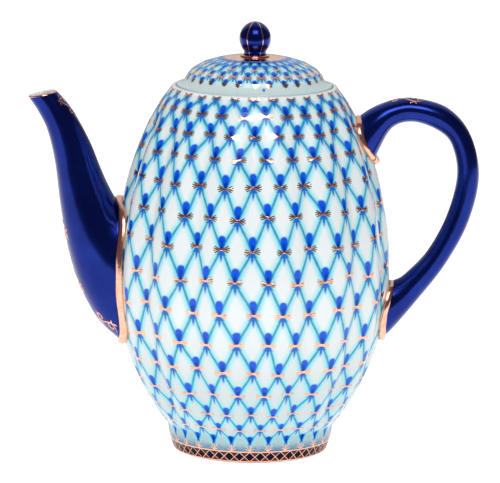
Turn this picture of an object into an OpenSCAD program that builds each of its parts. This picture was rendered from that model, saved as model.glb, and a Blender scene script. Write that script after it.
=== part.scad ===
// Lobed porcelain coffee pot with a lift-off lid, a high curved spout and a loop handle.
// The origin is the centre of the foot on the table, +Z is up, the spout points to -X
// and the handle to +X. All sizes are in millimetres.

/* [Body] */
// Radius over the lobe crests at the widest point
belly_r = 65.8; // [65:0.1:67]
// Height of the widest point above the table
belly_z = 84; // [82:0.5:86]
// Half height of the ellipse that shapes the shoulder
shoulder_h = 114.4; // [113:0.1:116]
// Half height of the curve that shapes the bowl under the widest point
bowl_h = 91.8; // [91:0.1:93]
// Sharpness of the bowl curve, where 2 is an ellipse
bowl_power = 1.8; // [1.7:0.05:1.9]
// Number of vertical lobes around the body
lobes = 14; // [12:2:16]
// Depth of the creases between the lobes
lobe_depth = 3; // [1:0.1:3.2]
// Wall thickness at the bottom of a crease
wall = 3; // [2.5:0.1:3.5]

/* [Foot] */
// Height of the foot, up to where the lobes begin
neck_z = 14.5; // [13:0.5:16]
// Radius of the ground contact edge
foot_r = 35.6; // [35:0.1:36.5]
// Width of the ring that stands on the table
foot_land = 3.6; // [3:0.1:4.5]
// Height of the hollow under the pot
foot_hollow = 10.5; // [9:0.5:11]

/* [Mouth] */
// Height of the rim above the table
rim_z = 176; // [175:0.5:177]
// Outer radius of the rim
rim_r = 39.6; // [39.2:0.1:40]
// Height at which the mouth ring meets the lobed wall
ring_z = 169.5; // [168:0.5:170]
// Depth of the step that the lid rests on, below the rim
seat_drop = 1.5; // [1:0.1:2]
// Radius of the mouth bore
mouth_r = 30.6; // [30:0.1:31]
// Width of the notch that lets the lid's lug through
notch_w = 9; // [8.5:0.5:11]

/* [Lid] */
// Radius of the lid's rolled edge
lid_r = 37; // [36.5:0.1:37.2]
// Radius of the rounding of the rolled edge
lid_roll = 1.2; // [1:0.1:1.4]
// Radius of the dome at its own base line
dome_r = 32.8; // [32.4:0.1:33]
// Height of the dome's base line above the lid's lower edge
dome_rise = 3.5; // [3.2:0.1:4]
// Height of the dome above its own base line
dome_h = 12.3; // [12:0.1:13]
// Wall thickness of the dome
lid_wall = 3; // [2.5:0.1:3.5]
// Radius of the gilt crown that carries the knob
crown_r = 14.5; // [13:0.5:16]
// Outer radius of the flange that hangs in the mouth
flange_r = 29.8; // [29:0.1:30]
// Thickness of the flange
flange_wall = 2.6; // [2.2:0.1:3]
// Depth of the flange below the seat
flange_drop = 9; // [8.5:0.5:12]
// Width of the lug that keeps the turned lid from falling out
lug_w = 7; // [5:0.5:8]
// How far the lug stands out from the flange
lug_out = 1.9; // [1.5:0.1:2]
// Diameter of the steam hole in the dome
vent_d = 2.6; // [2:0.1:3]
// Gap between the lid's edge and its seat
seat_gap = 0.1; // [0.1:0.1:0.3]

/* [Knob] */
// Radius of the knob's ball
knob_r = 7.4; // [7:0.1:8]
// Height from the middle of the ball to its top
knob_half_h = 8.1; // [7.5:0.1:8.6]
// Radius of the knob's neck
knob_neck_r = 5.2; // [4.8:0.1:5.6]
// Height of the middle of the ball above the table
knob_z = 198.4; // [197.5:0.1:199.5]

/* [Spout] */
// Height of the middle of the spout's root
spout_z = 86; // [85:0.5:87]
// Half height of the spout's root
spout_root_h = 33.5; // [32.5:0.5:34.5]
// Half width of the spout's root
spout_root_w = 19; // [17:0.5:20]
// Wall thickness of the spout
spout_wall = 2.4; // [2:0.1:2.6]
// Thickness of the gilt collar around the root
spout_collar_d = 4; // [3:0.1:4.4]
// Diameter of the strainer holes behind the spout
strainer_d = 3.6; // [3:0.1:3.8]
// Spacing of the strainer holes
strainer_pitch = 6.6; // [6:0.1:7]

/* [Handle] */
// Height of the middle of the upper root
handle_top_z = 150.5; // [150:0.5:151]
// Height of the middle of the lower root
handle_low_z = 68; // [67.5:0.5:68.5]
// Half height and half width of the upper root's collar
handle_top_root = [10.4, 9.6];
// Half height and half width of the lower root's collar
handle_low_root = [13.4, 9.8];
// Thickness of the gilt collars around the handle's roots
handle_collar_d = 3.2; // [2.6:0.1:3.6]

/* [Hidden] */
$fn = 96;

// The lobes fade in and out over this height at the neck and under the mouth ring.
lobe_fade = 16;
// Facets on each lobe, with one edge along every crease.
lobe_steps = 4;
row_h = 7.2;
// The wall comes in two parts that meet here, above the spout's root and below the handle's.
shoulder_z = 128;
floor_top = neck_z + 1.5;
seat_z = rim_z - seat_drop;
lid_z = seat_z + seat_gap;
dome_z = lid_z + dome_rise;
dome_power = 2.2;
crown_z = dome_height(crown_r);
// The crown stands this far above the dome, flat in the middle to carry the knob.
crown_rise = 0.5;
crown_top = crown_z + crown_rise;
crown_flat_r = 7.5;
// The hollow starts at this radius on the floor and opens out quickly.
floor_r = foot_r - 4;
floor_slope = 4;
// Spout and handle reach this far into the wall from the lobe crests.
embed = lobe_depth + 1;
porcelain = "whitesmoke";
cobalt = "midnightblue";
gilt = "goldenrod";

// Slices through the spout from its root to its mouth. Each slice holds its upper edge
// point, its lower edge point (distance from the axis, height) and its half width.
spout_slices = [
    [[64.4, 119.4], [63.6, 52.6], 19.0],
    [[66.3, 121.8], [74.0, 62.6], 18.0],
    [[68.5, 125.8], [82.5, 78.5], 16.5],
    [[71.0, 131.0], [88.0, 96.0], 14.5],
    [[73.8, 137.6], [91.8, 116.0], 12.3],
    [[77.3, 146.3], [94.6, 137.5], 10.0],
    [[82.4, 156.3], [98.3, 153.0], 8.4],
    [[88.0, 165.3], [103.0, 162.6], 7.4],
    [[93.9, 171.9], [107.3, 168.9], 6.8]
];
// Slices through the handle from its upper root around to its lower root.
handle_slices = [
    [[46.0, 158.5], [53.5, 138.0], 9.4],
    [[55.0, 165.3], [59.0, 148.8], 8.4],
    [[65.0, 169.5], [66.3, 156.8], 7.2],
    [[76.0, 170.8], [76.0, 159.4], 6.6],
    [[92.0, 166.3], [87.6, 155.4], 6.4],
    [[103.0, 153.8], [94.2, 148.6], 6.3],
    [[107.6, 134.0], [97.0, 134.0], 6.3],
    [[103.0, 111.6], [92.7, 115.0], 6.4],
    [[92.6, 91.2], [83.8, 97.5], 6.6],
    [[79.5, 73.6], [73.7, 86.4], 7.4],
    [[66.0, 57.5], [68.6, 83.0], 8.8],
    [[58.5, 52.0], [62.0, 81.5], 9.4]
];

// ---- Curves ----

// Radius over the lobe crests at height z.
function crest_r(z) = z > belly_z
    ? belly_r * sqrt(1 - pow((z - belly_z) / shoulder_h, 2))
    : belly_r * sqrt(1 - pow((belly_z - z) / bowl_h, bowl_power));

// A soft step from 0 to 1.
function soft(t) = let (s = min(max(t, 0), 1)) s * s * (3 - 2 * s);

// Depth of the creases at height z.
function crease(z) = lobe_depth * soft((z - neck_z) / lobe_fade) * soft((ring_z - z) / lobe_fade);

// Radius of the lobed wall at height z and angle a, with a crease straight in front (-Y).
function body_r(z, a) = crest_r(z) - crease(z) * (1 - abs(sin(lobes / 2 * (a + 90))));

// Radius of the hollow inside.
function hollow_r(z) = crest_r(z) - lobe_depth * soft((ring_z + 4 - z) / lobe_fade) - wall;

// Height of the dome's outer face at radius r.
function dome_height(r) = dome_z + dome_h * sqrt(1 - pow(r / dome_r, dome_power));

// Point on a smooth curve through p1 and p2, with p0 and p3 as their neighbours.
function blend(p0, p1, p2, p3, t) = 0.5 * (2 * p1 + (p2 - p0) * t
    + (2 * p0 - 5 * p1 + 4 * p2 - p3) * t * t + (3 * p1 - p0 - 3 * p2 + p3) * t * t * t);

// Slices filled in between the given ones, so that the swept shape is smooth.
function fill(list, steps) = [
    for (i = [0 : len(list) - 2])
        for (k = [0 : steps - 1])
            let (a = list[max(i - 1, 0)], b = list[i], c = list[i + 1])
            let (d = list[min(i + 2, len(list) - 1)], t = k / steps)
            [blend(a[0], b[0], c[0], d[0], t), blend(a[1], b[1], c[1], d[1], t),
             blend(a[2], b[2], c[2], d[2], t)],
    list[len(list) - 1]
];

// Oval of n points around one slice, shrunk by inset.
function oval(slice, inset, n) =
    let (middle = (slice[0] + slice[1]) / 2, half = (slice[0] - slice[1]) / 2)
    let (shrink = 1 - inset / norm(half), w = slice[2] - inset)
    [for (k = [0 : n - 1])
        let (a = 360 * k / n, p = middle + half * shrink * cos(a))
        [p[0], w * sin(a), p[1]]];

// Faces between two rings of n points that start at indices a and b.
function band(a, b, n) = [for (k = [0 : n - 1]) [a + k, a + (k + 1) % n, b + (k + 1) % n, b + k]];

function flat(lists) = [for (l = lists) each l];

// ---- Shared shapes ----

// Closed solid through a list of rings of n points each.
module loft(rings, n) {
    last = (len(rings) - 1) * n;
    polyhedron(
        points = flat(rings),
        faces = concat(
            [[for (k = [n - 1 : -1 : 0]) k]],
            flat([for (i = [0 : len(rings) - 2]) band(i * n, (i + 1) * n, n)]),
            [[for (k = [0 : n - 1]) last + k]]
        )
    );
}

// Closed tube through a list of rings that returns to its start.
module loop(rings, n) {
    count = len(rings);
    polyhedron(
        points = flat(rings),
        faces = flat([for (i = [0 : count - 1]) band(i * n, ((i + 1) % count) * n, n)])
    );
}

// Ring of round section that hugs the lobed wall around a root, on the side of angle a0.
module wall_collar(mid_z, half_h, half_w, d, a0) {
    around = 40;
    n = 10;
    sign = cos(a0);
    path = [
        for (i = [0 : around - 1])
            let (a = 360 * i / around, y = half_w * cos(a), z = mid_z + half_h * sin(a))
            let (r = body_r(z, a0 + asin(y / crest_r(z)) * sign))
            [sign * sqrt(r * r - y * y), y, z]
    ];
    rings = [
        for (i = [0 : around - 1])
            let (c = path[i], step = path[(i + 1) % around] - path[(i + around - 1) % around])
            let (along = step / norm(step), out = cross(along, cross([sign, 0, 0], along)))
            let (u = out / norm(out), v = cross(along, u))
            [for (k = [0 : n - 1]) c + d / 2 * (u * cos(360 * k / n) + v * sin(360 * k / n))]
    ];
    loop(rings, n);
}

// ---- Body ----

module lobed_solid(low_z, high_z) {
    n = lobes * lobe_steps;
    rows = round((high_z - low_z) / row_h);
    rings = [
        for (i = [0 : rows])
            let (z = low_z + (high_z - low_z) * i / rows)
            [for (k = [0 : n - 1])
                let (a = -360 * k / n - 90, r = body_r(z, a))
                [r * cos(a), r * sin(a), z]]
    ];
    loft(rings, n);
}

module hollow() {
    rows = 18;
    top = ring_z - 3;
    rotate_extrude()
        polygon(concat(
            [[0, ring_z + 1], [0, floor_top]],
            [for (i = [0 : rows])
                let (z = floor_top + (top - floor_top) * i / rows)
                [min(hollow_r(z), floor_r + (z - floor_top) * floor_slope), z]],
            [[mouth_r + 1, ring_z], [mouth_r + 1, ring_z + 1]]
        ));
}

// Staggered rows of round holes through the wall behind the spout.
module strainer_holes() {
    rows = 3;
    for (i = [-rows : rows]) {
        count = i % 2 == 0 ? 3 : 2;
        for (k = [0 : count - 1])
            translate([-belly_r - 2, (k - (count - 1) / 2) * strainer_pitch,
                       spout_z + i * strainer_pitch])
                rotate([0, 90, 0]) cylinder(d = strainer_d, h = 20, $fn = 24);
    }
}

module body_shell() {
    color(porcelain) difference() {
        union() {
            lobed_solid(neck_z, shoulder_z);
            translate([0, 0, foot_hollow]) cylinder(r = foot_r - foot_land, h = neck_z - foot_hollow + 1);
        }
        hollow();
        strainer_holes();
    }
}

module body_shoulder() {
    color(porcelain) difference() {
        lobed_solid(shoulder_z, ring_z);
        hollow();
    }
}

module foot_ring() {
    round_r = 2.4;
    flare_z = neck_z - 1.6;
    color(porcelain) rotate_extrude()
        polygon(concat(
            [[foot_r - foot_land, 0]],
            [for (a = [-90 : 15 : -15]) [foot_r + round_r * (cos(a) - 0.4), round_r * (1 + sin(a))]],
            [[foot_r + 2.6, 5.4], [foot_r + 3.4, 8.4], [foot_r + 4.3, flare_z]],
            [[crest_r(neck_z), neck_z], [foot_r - foot_land, neck_z]]
        ));
}

module rim_gallery() {
    round_r = 1.1;
    rows = 5;
    color(porcelain) difference() {
        rotate_extrude()
            polygon(concat(
                [[mouth_r, ring_z]],
                [for (i = [0 : rows])
                    let (z = ring_z + (rim_z - round_r - ring_z) * i / rows)
                    [crest_r(z) + (rim_r - crest_r(rim_z - round_r)) * i / rows, z]],
                [for (a = [15 : 15 : 90])
                    [rim_r - round_r + round_r * cos(a), rim_z - round_r + round_r * sin(a)]],
                [[lid_r + 0.7, rim_z], [lid_r + 0.5, rim_z - 0.2], [lid_r + 0.5, seat_z]],
                [[mouth_r, seat_z]]
            ));
        translate([0, -notch_w / 2, ring_z - 1]) cube([mouth_r + 2.4, notch_w, rim_z - ring_z + 2]);
    }
}

// ---- Spout ----

module spout() {
    n = 24;
    slices = fill(spout_slices, 3);
    root = [
        for (inset = [0, spout_wall])
            [for (k = [0 : n - 1])
                let (a = 360 * k / n, y = (spout_root_w - inset) * sin(a))
                let (z = spout_z + (spout_root_h - inset) * cos(a), r = crest_r(z) - embed)
                [sqrt(r * r - y * y), y, z]]
    ];
    outer = concat([root[0]], [for (s = slices) oval(s, 0, n)]);
    inner = concat([root[1]], [for (s = slices) oval(s, spout_wall, n)]);
    count = len(outer);
    lip = count * n;
    color(cobalt) mirror([1, 0, 0])
        polyhedron(
            points = concat(flat(outer), flat(inner)),
            faces = concat(
                flat([for (i = [0 : count - 2]) band((i + 1) * n, i * n, n)]),
                flat([for (i = [0 : count - 2]) band(lip + i * n, lip + (i + 1) * n, n)]),
                band(0, lip, n),
                band(lip + (count - 1) * n, (count - 1) * n, n)
            )
        );
}

module spout_collar() {
    color(gilt) wall_collar(spout_z, spout_root_h + 1, spout_root_w + 1, spout_collar_d, 180);
}

// ---- Handle ----

module handle() {
    n = 20;
    rings = [for (s = fill(handle_slices, 4)) oval(s, 0, n)];
    color(cobalt) loft(rings, n);
}

module handle_upper_collar() {
    color(gilt)
        wall_collar(handle_top_z, handle_top_root[0], handle_top_root[1], handle_collar_d, 0);
}

module handle_lower_collar() {
    color(gilt)
        wall_collar(handle_low_z, handle_low_root[0], handle_low_root[1], handle_collar_d, 0);
}

// ---- Lid ----

module lid_dome() {
    rows = 12;
    edge_r = dome_r - 0.7;
    roll_c = [lid_r - lid_roll, lid_z + lid_roll];
    under_z = lid_z + 0.6;
    color(porcelain) difference() {
        rotate_extrude()
            polygon(concat(
                [for (i = [0 : rows])
                    let (r = crown_r + (edge_r - crown_r) * sin(90 * i / rows))
                    [r, dome_height(r)]],
                [for (a = [45 : -15 : -90]) roll_c + lid_roll * [cos(a), sin(a)]],
                [[flange_r, lid_z], [flange_r - flange_wall, under_z]],
                [for (i = [rows : -1 : 0])
                    let (r = crown_r + (flange_r - flange_wall - crown_r) * i / rows)
                    [r, dome_height(r) - lid_wall - (r - crown_r) * 0.06]]
            ));
        translate([0, (crown_r + flange_r) / 2, lid_z]) cylinder(d = vent_d, h = 20, $fn = 24);
    }
}

module lid_crown() {
    rows = 4;
    color(gilt) rotate_extrude()
        polygon(concat(
            [[0, crown_z - lid_wall], [crown_r, crown_z - lid_wall]],
            [for (i = [rows : -1 : 0])
                let (t = i / rows)
                [crown_flat_r + (crown_r - crown_flat_r) * t, crown_top - crown_rise * t * t]],
            [[0, crown_top]]
        ));
}

module lid_flange() {
    color(porcelain) translate([0, 0, lid_z - flange_drop])
        rotate_extrude()
            polygon([
                [flange_r - flange_wall + 0.6, 0], [flange_r - 0.8, 0], [flange_r, 0.8],
                [flange_r, flange_drop], [flange_r - flange_wall, flange_drop + 0.6],
                [flange_r - flange_wall, 0.6]
            ]);
}

module lid_lug() {
    lug_h = 2.6;
    color(porcelain) translate([0, 0, lid_z - flange_drop + 0.8])
        intersection() {
            difference() {
                cylinder(r = flange_r + lug_out, h = lug_h);
                translate([0, 0, -1]) cylinder(r = flange_r, h = lug_h + 2);
            }
            translate([0, -lug_w / 2, -1]) cube([flange_r + 5, lug_w, lug_h + 2]);
        }
}

// ---- Knob ----

// Ball, a little taller than wide, that runs down into a neck with a flared base.
module knob() {
    flare = 0.7;
    neck_a = -acos(knob_neck_r / knob_r);
    color(cobalt) rotate_extrude()
        polygon(concat(
            [[0, crown_top], [knob_neck_r + flare, crown_top]],
            [[knob_neck_r + flare * 0.6, crown_top + flare * 0.6], [knob_neck_r, crown_top + flare * 1.6]],
            [for (a = [neck_a : (90 - neck_a) / 16 : 89])
                [knob_r * cos(a), knob_z + knob_half_h * sin(a)]],
            [[0, knob_z + knob_half_h]]
        ));
}

module knob_ring() {
    bead_r = 0.6;
    color(gilt) translate([0, 0, crown_top + bead_r / 2])
        rotate_extrude() translate([knob_neck_r + 1.2, 0]) circle(r = bead_r, $fn = 24);
}

body_shell();
body_shoulder();
foot_ring();
rim_gallery();
spout();
spout_collar();
handle();
handle_upper_collar();
handle_lower_collar();
lid_dome();
lid_crown();
lid_flange();
lid_lug();
knob();
knob_ring();
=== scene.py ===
"""Looks of the cobalt-net porcelain coffee pot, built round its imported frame.

Lengths are in mm up to the studio, whose lengths are in metres, as those of small relief are.
"""

import math

import bmesh
import bpy
import numpy as np
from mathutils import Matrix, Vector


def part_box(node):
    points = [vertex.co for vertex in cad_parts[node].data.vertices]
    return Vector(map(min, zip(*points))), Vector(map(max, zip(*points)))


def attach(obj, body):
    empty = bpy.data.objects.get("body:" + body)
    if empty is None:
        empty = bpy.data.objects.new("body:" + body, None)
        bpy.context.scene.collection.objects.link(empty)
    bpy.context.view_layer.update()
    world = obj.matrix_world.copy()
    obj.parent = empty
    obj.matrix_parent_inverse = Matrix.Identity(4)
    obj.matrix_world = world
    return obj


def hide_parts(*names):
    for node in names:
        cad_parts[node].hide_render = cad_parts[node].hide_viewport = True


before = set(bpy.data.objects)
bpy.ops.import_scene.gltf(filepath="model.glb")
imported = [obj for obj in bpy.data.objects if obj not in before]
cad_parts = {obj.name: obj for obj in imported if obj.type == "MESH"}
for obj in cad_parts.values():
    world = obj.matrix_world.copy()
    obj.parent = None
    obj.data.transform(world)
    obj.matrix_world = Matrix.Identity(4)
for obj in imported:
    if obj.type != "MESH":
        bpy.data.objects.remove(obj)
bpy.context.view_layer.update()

MM = 0.001
TAU = 2 * math.pi
rng = np.random.default_rng(28)


def span(node):
    """Lowest and highest corner of a CAD node, in mm."""
    low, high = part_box(node)
    return np.array(low) / MM, np.array(high) / MM


# ---- The shape, as the CAD part has it ----
LOBES = 14
LOBE_DEPTH = 3.0
LOBE_FADE = 16.0
BELLY_R = 65.8
BELLY_Z = 84.0
SHOULDER_H = 114.4
BOWL_H = 91.8
BOWL_POWER = 1.8
WALL = 3.0
NECK_Z = span("body_shell")[0][2] + 4.0
RING_Z = span("rim_gallery")[0][2]
RIM_Z = span("rim_gallery")[1][2]
RIM_R, RIM_ROUND = 39.6, 1.1
MOUTH_R = 30.6
SEAT_Z = RIM_Z - 1.5
LID_R = span("lid_dome")[1][0]
LID_Z = span("lid_dome")[0][2]
KNOB_TOP = span("knob")[1][2]
FOOT_IN = 32.0
FOOT_HOLLOW = span("body_shell")[0][2]
SPOUT_Z, SPOUT_HALF_H, SPOUT_HALF_W, SPOUT_WALL = 86.0, 33.5, 19.0, 2.4
STRAINER_R, STRAINER_PITCH, STRAINER_X = 1.8, 6.6, -58.0
STRAINER_ROWS = 3  # above the middle one, and as many below
STEAM_R = 1.3
NOTCH_HALF_W, NOTCH_DEPTH = 4.5, 2.4
FRONT = -math.pi / 2

# ---- The painted net ----
COLUMNS = 28
ROWS = 14
TOP_ROW_Z = 174.8
LOW_ROW_Z = 10.4
ROW_BASE, ROW_SWELL = 0.95, 0.13  # row height over column width: at the ends, and more midway
BELLY_PITCH = 14.4
OFF_NET = -5.0  # a row number that gets no paint


def soft(t):
    """Smooth step from 0 to 1."""
    s = np.clip(t, 0, 1)
    return s * s * (3 - 2 * s)


def unit(v):
    """Vectors along v of length 1."""
    return v / np.linalg.norm(v, axis=-1, keepdims=True)


def crest_r(z):
    """Radius over the lobe crests."""
    z = np.asarray(z, float)
    up = 1 - ((z - BELLY_Z) / SHOULDER_H) ** 2
    down = 1 - (np.clip(BELLY_Z - z, 0, None) / BOWL_H) ** BOWL_POWER
    return BELLY_R * np.sqrt(np.clip(np.where(z > BELLY_Z, up, down), 0, 1))


def crease(z):
    """Depth of the creases between the lobes."""
    return LOBE_DEPTH * soft((z - NECK_Z) / LOBE_FADE) * soft((RING_Z - z) / LOBE_FADE)


def ridge(a):
    """0 in a crease and 1 on a crest, with the crease's bottom a little rounded."""
    e = 0.1
    wave = np.sin(LOBES / 2 * (a - FRONT))
    return (np.sqrt(wave * wave + e * e) - e) / (math.sqrt(1 + e * e) - e)


def wall_r(z, a):
    """Radius of the lobed wall at height z and angle a."""
    return crest_r(z) - crease(z) * (1 - ridge(a))


def curve(points, steps=8):
    """Smooth curve through the points."""
    p = np.asarray(points, float)
    out = []
    for i in range(len(p) - 1):
        a, b, c, d = p[max(i - 1, 0)], p[i], p[i + 1], p[min(i + 2, len(p) - 1)]
        for t in np.arange(steps) / steps:
            out.append(0.5 * (2 * b + (c - a) * t + (2 * a - 5 * b + 4 * c - d) * t * t
                              + (3 * b - a - 3 * c + d) * t ** 3))
    return np.array(out + [p[-1]])


def arc(centre, radius, start, end, steps=8):
    """Points of a circle's arc, as (distance from the axis, height)."""
    a = np.radians(np.linspace(start, end, steps + 1))
    return np.stack([centre[0] + radius * np.cos(a), centre[1] + radius * np.sin(a)], 1)


# Outlines, as (radius, height), from the top down.
foot_wall = np.vstack([
    curve([[crest_r(NECK_Z), NECK_Z], [39.9, 12.9], [39.0, 8.4], [38.2, 5.4], [36.96, 1.78]], 8),
    arc((34.64, 2.4), 2.4, -15, -90, 8)[1:],
])
body_z = np.linspace(RING_Z, NECK_Z, 150)
rim_rows = np.linspace(0, 1, 12)
rim_side_z = RIM_Z - RIM_ROUND + (RING_Z - RIM_Z + RIM_ROUND) * rim_rows
rim_side = np.stack([
    crest_r(rim_side_z) + (RIM_R - crest_r(RIM_Z - RIM_ROUND)) * (1 - rim_rows), rim_side_z], 1)
rim_wall = np.vstack([
    arc((RIM_R - RIM_ROUND, RIM_Z - RIM_ROUND), RIM_ROUND, 90, 0, 6)[:-1], rim_side])
pot_outline = np.vstack([
    rim_wall[:-1], np.stack([crest_r(body_z), body_z], 1)[:-1], foot_wall])


class Turned:
    """A turned surface, lobed if asked. s runs down its outline in mm and a is the angle."""

    def __init__(self, outline, lobed=False):
        self.r, self.z = outline.T
        self.s = np.concatenate([[0], np.cumsum(np.hypot(np.diff(self.r), np.diff(self.z)))])
        self.lobed = lobed

    def radius(self, s):
        return np.interp(s, self.s, self.r)

    def height(self, s):
        return np.interp(s, self.s, self.z)

    def point(self, a, s):
        r, z = self.radius(s), self.height(s)
        if self.lobed:
            r = r - crease(z) * (1 - ridge(a))
        return np.stack([r * np.cos(a), r * np.sin(a), z + 0 * a], -1)

    def normal(self, a, s):
        da, ds = 0.004, 0.25
        along = self.point(a, s + ds) - self.point(a, s - ds)
        around = self.point(a + da, s) - self.point(a - da, s)
        return unit(np.cross(along, around))


pot = Turned(pot_outline, lobed=True)


def row_ratio(v):
    """How far apart the rows are, as a share of the column pitch."""
    return ROW_BASE + ROW_SWELL * np.sin(math.pi * np.clip(v / ROWS, 0, 1))


def net_rows():
    """Row number of the net along the pot's outline, 0 at the mouth and ROWS on the foot."""
    s = np.linspace(0, pot.s[-1], 3000)
    z, r = pot.height(s), pot.radius(s)
    top, low = (np.interp(-h, -z, s) for h in (TOP_ROW_Z, LOW_ROW_Z))
    rate = 1 / (TAU * r / COLUMNS * row_ratio(ROWS * (s - top) / (low - top)))
    v = np.concatenate([[0], np.cumsum((rate[1:] + rate[:-1]) / 2 * np.diff(s))])
    v = v - np.interp(top, s, v)
    return s, v * ROWS / np.interp(low, s, v)


net_s, net_v = net_rows()

# How far the painter's hand strayed at each crossing, in columns and rows.
stray_u = np.clip(rng.normal(0, 0.04, (ROWS + 1, COLUMNS)), -0.08, 0.08)
stray_v = np.clip(rng.normal(0, 0.055, (ROWS + 1, COLUMNS)), -0.11, 0.11)
stray_u[ROWS] = stray_v[ROWS] = 0
cross_v, cross_u = np.meshgrid(np.arange(ROWS + 1.0), np.arange(float(COLUMNS)), indexing="ij")
cross_u = cross_u + (cross_v % 2) / 2


def stray(u, v):
    """The hand's straying at (u, v), smooth between the crossings."""
    u, v = np.asarray(u, float).ravel(), np.asarray(v, float).ravel()
    du, dv = np.zeros_like(u), np.zeros_like(v)
    for i in range(0, len(u), 4000):
        part = slice(i, i + 4000)
        x = (u[part, None] - cross_u.ravel() + COLUMNS / 2) % COLUMNS - COLUMNS / 2
        y = v[part, None] - cross_v.ravel()
        w = np.exp(-(x * x + y * y) / 0.3)
        total = w.sum(1) + 0.02
        du[part] = (w * stray_u.ravel()).sum(1) / total
        dv[part] = (w * stray_v.ravel()).sum(1) / total
    return du, dv


def painted_uv(a, s):
    """Net coordinates at angle a and outline distance s."""
    u = (a - FRONT) / TAU * COLUMNS
    v = np.interp(s, net_s, net_v)
    du, dv = stray(u, v)
    return np.stack([u - du.reshape(u.shape), v - dv.reshape(v.shape)], -1)


def crossing(i, j):
    """Angle and outline distance where the painted crossings (column i, row j) lie."""
    u0, v0 = np.asarray(i, float), np.asarray(j, float)
    u, v = u0, v0
    for _ in range(6):
        du, dv = stray(u, v)
        u, v = u0 + du, v0 + dv
    return FRONT + u * TAU / COLUMNS, np.interp(v, net_v, net_s)


# ---- Meshes ----

def add(name, data):
    """A new object in the scene."""
    obj = bpy.data.objects.new(name, data)
    bpy.context.scene.collection.objects.link(obj)
    return obj


def make(name, verts, faces, body, slot, materials, uv=None, indices=None, sharp=38):
    """A closed smooth mesh from points in mm, riding on a body."""
    mesh = bpy.data.meshes.new(name)
    mesh.from_pydata((verts * MM).tolist(), [], faces)
    if indices is not None:
        mesh.polygons.foreach_set("material_index", np.asarray(indices, np.int32))
    if uv is not None:
        layer = mesh.uv_layers.new(name="Net")
        layer.data.foreach_set("uv", np.asarray(uv, np.float32).ravel())
    for m in materials:
        mesh.materials.append(m)
    obj = add(name, mesh)
    polish(mesh, sharp)
    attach(obj, body)
    return obj


def polish(mesh, sharp=38):
    """Turns the faces outward and keeps crisp edges crisp under smooth shading."""
    bm = bmesh.new()
    bm.from_mesh(mesh)
    bmesh.ops.recalc_face_normals(bm, faces=bm.faces)
    limit = math.radians(sharp)
    for f in bm.faces:
        f.smooth = True
    for e in bm.edges:
        e.smooth = not (len(e.link_faces) == 2 and e.calc_face_angle(0) > limit)
    bm.to_mesh(mesh)
    bm.free()


def loft(rings, loop=False):
    """Points and faces of a solid through rings of points; open ends are capped."""
    rings = np.asarray(rings, float)
    count, n = rings.shape[:2]
    i = np.arange(count if loop else count - 1)[:, None]
    k = np.arange(n)[None, :]
    j, m = (i + 1) % count, (k + 1) % n
    quads = np.stack([i * n + k, i * n + m, j * n + m, j * n + k], -1).reshape(-1, 4)
    faces = [tuple(q) for q in quads.tolist()]
    if not loop:
        faces.append(tuple(range(n))[::-1])
        faces.append(tuple(range((count - 1) * n, count * n)))
    return rings.reshape(-1, 3), faces


def strip_uv(grid, caps, n):
    """Corner coordinates for loft's faces, from a grid that repeats its first column at the end."""
    a, b = grid[:-1, :-1], grid[:-1, 1:]
    d, c = grid[1:, :-1], grid[1:, 1:]
    corners = np.stack([a, b, c, d], 2).reshape(-1, 2)
    return np.vstack([corners] + [np.tile([[0.5, OFF_NET]], (n, 1))] * caps)


def turned_rings(profile, n, lobed=None):
    """Rings round the axis for a profile of (radius, height); lobed says which have lobes."""
    a = TAU * np.arange(n) / n - FRONT
    profile = np.asarray(profile, float)
    r = np.repeat(profile[:, :1], n, 1)
    z = np.repeat(profile[:, 1:], n, 1)
    if lobed is not None:
        dip = crease(profile[:, 1:]) * (1 - ridge(a)[None, :])
        r = np.where(lobed[:, None], r - dip, r)
    return np.stack([r * np.cos(a), r * np.sin(a), z], -1)


AROUND = 336  # points round the pot: 12 to a column of the net


def outer_uv(profile, painted):
    """Net coordinates for rings: the painted ones get the net, the rest lie off it."""
    a = TAU * np.arange(AROUND + 1) / AROUND - FRONT
    grid = np.full((len(profile), AROUND + 1, 2), OFF_NET)
    grid[..., 0] = (a - FRONT) / TAU * COLUMNS
    for i in np.flatnonzero(painted):
        r, z = profile[i]
        s = np.interp(-z, -pot.z, pot.s)
        grid[i] = painted_uv(a, np.full_like(a, s))
    return grid


def closed_uv(profile, painted_count):
    """Net coordinates for a looped profile whose first rings are painted."""
    grid = outer_uv(profile, np.arange(len(profile)) < painted_count)
    return strip_uv(np.vstack([grid, grid[:1]]), 0, AROUND)


def cut(obj, cutter_verts, cutter_faces):
    """Cuts closed shapes out of a piece."""
    mesh = bpy.data.meshes.new("cutter")
    mesh.from_pydata((cutter_verts * MM).tolist(), [], cutter_faces)
    polish(mesh)
    cutter = add("cutter", mesh)
    mod = obj.modifiers.new("cut", "BOOLEAN")
    mod.operation, mod.solver, mod.object = "DIFFERENCE", "EXACT", cutter
    bpy.context.view_layer.update()
    graph = bpy.context.evaluated_depsgraph_get()
    done = bpy.data.meshes.new_from_object(obj.evaluated_get(graph))
    obj.modifiers.clear()
    old = obj.data
    obj.data = done
    bpy.data.meshes.remove(old)
    bpy.data.objects.remove(cutter)
    polish(done)
    done.name = obj.name


def join_parts(parts):
    """One list of points and faces from several."""
    verts, faces, base = [], [], 0
    for v, f in parts:
        verts.append(v)
        faces += [tuple(base + k for k in face) for face in f]
        base += len(v)
    return np.vstack(verts), faces


def rod(centre, axis, radius, length):
    """A round rod along an axis other than y, for cutting holes."""
    c, x = np.asarray(centre, float), unit(np.asarray(axis, float))
    side = unit(np.cross(x, [0, 1, 0]))
    up = np.cross(x, side)
    n = 24
    a = TAU * np.arange(n) / n
    ring = radius * (np.cos(a)[:, None] * side + np.sin(a)[:, None] * up)
    return loft([c + ring - x * length / 2, c + ring + x * length / 2])


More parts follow.
